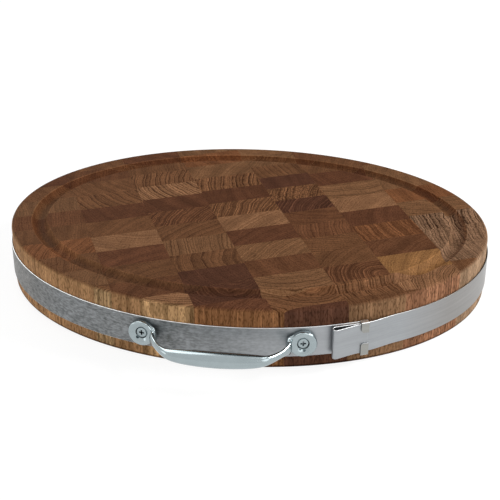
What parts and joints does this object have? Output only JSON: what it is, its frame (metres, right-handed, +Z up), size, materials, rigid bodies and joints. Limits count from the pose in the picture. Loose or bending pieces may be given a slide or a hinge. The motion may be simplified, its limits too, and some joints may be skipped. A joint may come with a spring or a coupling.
{
  "type": "butcher block cutting board",
  "caption": "Oval end-grain butcher block with a juice groove round the top, a steel strap clamped round its edge and a fixed pull handle on one long side.",
  "frame": {"origin": "centre of the oval on the board's underside", "axes": "+X along the long axis of the oval, +Z up out of the cutting face, the handle on the -Y side"},
  "size_m": [0.322, 0.2662, 0.041],
  "materials": {
    "hardwood": "oiled end grain, satin",
    "strap_steel": "dull rolled steel strap, brushed along its length",
    "zinc_plated_steel": "bright bluish zinc plate"
  },
  "bodies": {
    "root": {"block_a01": "hardwood", "block_a02": "hardwood", "block_a03": "hardwood", "block_a04": "hardwood", "block_a05": "hardwood", "block_b01": "hardwood", "block_b02": "hardwood", "block_b03": "hardwood", "block_b04": "hardwood", "block_b05": "hardwood", "block_b06": "hardwood", "block_b07": "hardwood", "block_c01": "hardwood", "block_c02": "hardwood", "block_c03": "hardwood", "block_c04": "hardwood", "block_c05": "hardwood", "block_c06": "hardwood", "block_c07": "hardwood", "block_c08": "hardwood", "block_c09": "hardwood", "block_d01": "hardwood", "block_d02": "hardwood", "block_d03": "hardwood", "block_d04": "hardwood", "block_d05": "hardwood", "block_d06": "hardwood", "block_d07": "hardwood", "block_d08": "hardwood", "block_d09": "hardwood", "block_d10": "hardwood", "block_e01": "hardwood", "block_e02": "hardwood", "block_e03": "hardwood", "block_e04": "hardwood", "block_e05": "hardwood", "block_e06": "hardwood", "block_e07": "hardwood", "block_e08": "hardwood", "block_e09": "hardwood", "block_e10": "hardwood", "block_e11": "hardwood", "block_f01": "hardwood", "block_f02": "hardwood", "block_f03": "hardwood", "block_f04": "hardwood", "block_f05": "hardwood", "block_f06": "hardwood", "block_f07": "hardwood", "block_g01": "hardwood", "block_g02": "hardwood", "block_g03": "hardwood", "block_g04": "hardwood", "block_g05": "hardwood", "edge_strap": "strap_steel", "pull_handle": "zinc_plated_steel", "screw_left": "zinc_plated_steel", "screw_right": "zinc_plated_steel", "strap_buckle": "strap_steel"}
  },
  "joints": []
}
